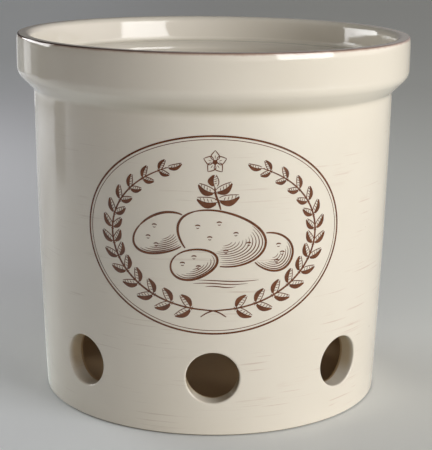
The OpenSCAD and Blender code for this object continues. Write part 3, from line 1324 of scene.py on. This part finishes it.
# The white table. Pairs are where a change starts and where it ends, in metres, and the two
# lines across it are a slope and an offset
tableLook = {
    "half": 8,
    "top": -0.0001,
    "left": (0.80, 0.825, 0.865, 1.0),
    "right": (0.84, 0.865, 0.815, 1.0),
    "leftToRight": (-0.4, 0.4),
    "roughness": 0.75,
    "mirror": 0.25,
    "glow": (0.91, 1.0, 0.965, 1.0),
    "sweepFrom": (0.9, 1.75),
    "sweepAcross": (0.1, -0.5),
    "sweepBack": 0.064,
    "sweepBackLeft": 0.1024,
    "sweepRight": 0.054,
    "rightAcross": (0.05, 0.25),
    "rightFrom": (-0.08, 0.12),
    "sweepMirrored": 0.8,
    "floorLeft": 0.050,
    "floorAcross": (0, -0.09),
    "floorFrom": (0.35, 0.05),
    "underKey": 0.6,
    "keyFrom": (0.25, 0.8),
    "leftFrom": (0, -0.12),
    "stripLine": (0.577, 0.116),
    "stripFrom": (0, 0.04),
    "strip": 0.12,
    "near": 0.30,
    "nearFrom": (0.85, 0.6),
    "nearBack": (0.22, 0.05),
    "gapLine": (0.319, 0.099),
    "gap": 0.85,
    "gapBack": (0.02, -0.02),
    "gapFront": (-0.03, 0.03),
    "gapFrom": (0.6, 0.8),
}


def tableRamp(tree, value, name, end=1.0):
    return ramp(tree, value, *tableLook[name], 0, end)


def pastLine(tree, x, y, name):
    # how far a point lies behind one of the slanting lines across the table
    slope, offset = tableLook[name]
    return calc(tree, "ADD", calc(tree, "MULTIPLY_ADD", x, slope, y), offset)


def makeSweep(tree, x, y, far, path):
    # away from the vessel the table brightens into a pale sweep
    back = ramp(tree, x, *tableLook["sweepAcross"], tableLook["sweepBack"], tableLook["sweepBackLeft"])
    behind = tableRamp(tree, far, "sweepFrom", back)
    right = tableRamp(tree, x, "rightAcross", tableLook["sweepRight"])
    beside = product(tree, right, tableRamp(tree, y, "rightFrom"))
    mirrored = product(tree, path["Is Glossy Ray"], tableLook["sweepMirrored"])
    seen = calc(tree, "MAXIMUM", path["Is Camera Ray"], mirrored)
    return product(tree, calc(tree, "MAXIMUM", behind, beside), seen)


def makeLeftMirror(tree, x, y, far, path):
    # what the glaze mirrors on the left: the glow of a strip behind and of a pale stretch
    # close by, and the darkness of a gap beside the strip
    beyond = pastLine(tree, x, y, "stripLine")
    before = pastLine(tree, x, y, "gapLine")
    left = tableRamp(tree, x, "leftFrom")
    strip = product(tree, tableRamp(tree, beyond, "stripFrom", tableLook["strip"]), left)
    near = tableRamp(tree, far, "nearFrom", tableLook["near"])
    near = product(tree, near, tableRamp(tree, beyond, "nearBack"))
    glow = product(tree, calc(tree, "MULTIPLY_ADD", near, left, strip), path["Is Glossy Ray"])
    gap = product(tree, tableRamp(tree, beyond, "gapBack"), tableRamp(tree, before, "gapFront"))
    gap = product(tree, gap, tableRamp(tree, far, "gapFrom"), left, path["Is Glossy Ray"], tableLook["gap"])
    return glow, gap


def makeFloorGlow(tree, x, y, path):
    # seen directly, the floor is a little paler at the front left
    left = tableRamp(tree, x, "floorAcross", tableLook["floorLeft"])
    return product(tree, left, tableRamp(tree, y, "floorFrom"), path["Is Camera Ray"])


def makeKeyShade(tree, x, y, path):
    # the table close under the key box would clip to white from the other sides
    towards = Vector(studio["keyPlace"][:2]).normalized()
    toKey = calc(tree, "MULTIPLY_ADD", x, towards.x, product(tree, y, towards.y))
    return product(tree, tableRamp(tree, toKey, "keyFrom", tableLook["underKey"]), path["Is Camera Ray"])


def clearFromBelow(tree, shader):
    # seen from below, the table is clear, so that the foot shows
    side = tree.nodes.new("ShaderNodeNewGeometry")
    clear = tree.nodes.new("ShaderNodeBsdfTransparent")
    either = tree.nodes.new("ShaderNodeMixShader")
    tree.links.new(side.outputs["Backfacing"], either.inputs[0])
    tree.links.new(shader.outputs[0], either.inputs[1])
    tree.links.new(clear.outputs[0], either.inputs[2])
    tree.links.new(either.outputs[0], tree.nodes["Material Output"].inputs["Surface"])


def makeTableMaterial():
    material, tree, shader = newMaterial("paleTable")
    shader.inputs["Roughness"].default_value = tableLook["roughness"]
    shader.inputs["Specular IOR Level"].default_value = tableLook["mirror"]
    shader.inputs["Emission Color"].default_value = tableLook["glow"]
    x, y, z = objectPoint(tree)
    far = fromAxis(tree, x, y)
    path = tree.nodes.new("ShaderNodeLightPath").outputs
    mirrorGlow, gap = makeLeftMirror(tree, x, y, far, path)
    glow = calc(tree, "ADD", makeSweep(tree, x, y, far, path), mirrorGlow)
    glow = calc(tree, "ADD", glow, makeFloorGlow(tree, x, y, path))
    tree.links.new(glow, shader.inputs["Emission Strength"])
    pale = blend(tree, tableRamp(tree, x, "leftToRight"), tableLook["left"], tableLook["right"])
    dark = calc(tree, "MAXIMUM", makeKeyShade(tree, x, y, path), gap)
    tree.links.new(blend(tree, dark, pale, (0.0, 0.0, 0.0, 1.0)), shader.inputs["Base Color"])
    clearFromBelow(tree, shader)
    return material


def makeTable():
    bm = bmesh.new()
    half = tableLook["half"]
    for x, y in ((-half, -half), (half, -half), (half, half), (-half, half)):
        bm.verts.new((x, y, tableLook["top"]))
    bm.faces.new(bm.verts)
    table = finishMesh("table", bm, smooth=False)
    dress(table, makeTableMaterial())


def makeWorld():
    # dim all round, brighter low down towards the front and the right
    world = bpy.data.worlds.new("studio")
    world.use_nodes = True
    tree = world.node_tree
    back = tree.nodes["Background"]
    place = tree.nodes.new("ShaderNodeTexCoord")
    parts = tree.nodes.new("ShaderNodeSeparateXYZ")
    tree.links.new(place.outputs["Generated"], parts.inputs[0])
    x, y, z = parts.outputs
    turn, top, edge = studio["glowFrom"], studio["glowTop"], studio["glowEdge"]
    side = calc(tree, "MULTIPLY_ADD", x, sine(turn), product(tree, y, -cosine(turn)))
    lobe = calc(tree, "POWER", calc(tree, "MULTIPLY_ADD", side, 0.5, 0.5), 2.0)
    lobe = calc(tree, "MULTIPLY_ADD", lobe, studio["glowStrength"], studio["fill"])
    low = ramp(tree, z, sine(top + edge), sine(top - edge))
    above = ramp(tree, z, *studio["ceilingFrom"], 0.0, studio["ceiling"])
    strength = calc(tree, "MULTIPLY_ADD", lobe, low, above)
    # seen directly, it is a plain backdrop
    path = tree.nodes.new("ShaderNodeLightPath")
    seen = path.outputs["Is Camera Ray"]
    tree.links.new(blend(tree, seen, studio["glow"], studio["backdrop"]), back.inputs["Color"])
    plain = calc(tree, "SUBTRACT", 1.0, seen)
    tree.links.new(calc(tree, "MULTIPLY_ADD", strength, plain, seen), back.inputs["Strength"])
    bpy.context.scene.world = world


makeCamera()
makeTable()
makeWorld()
makeLamps()
bpy.context.scene.view_settings.view_transform = "Standard"
print("camera, lamps and table made")
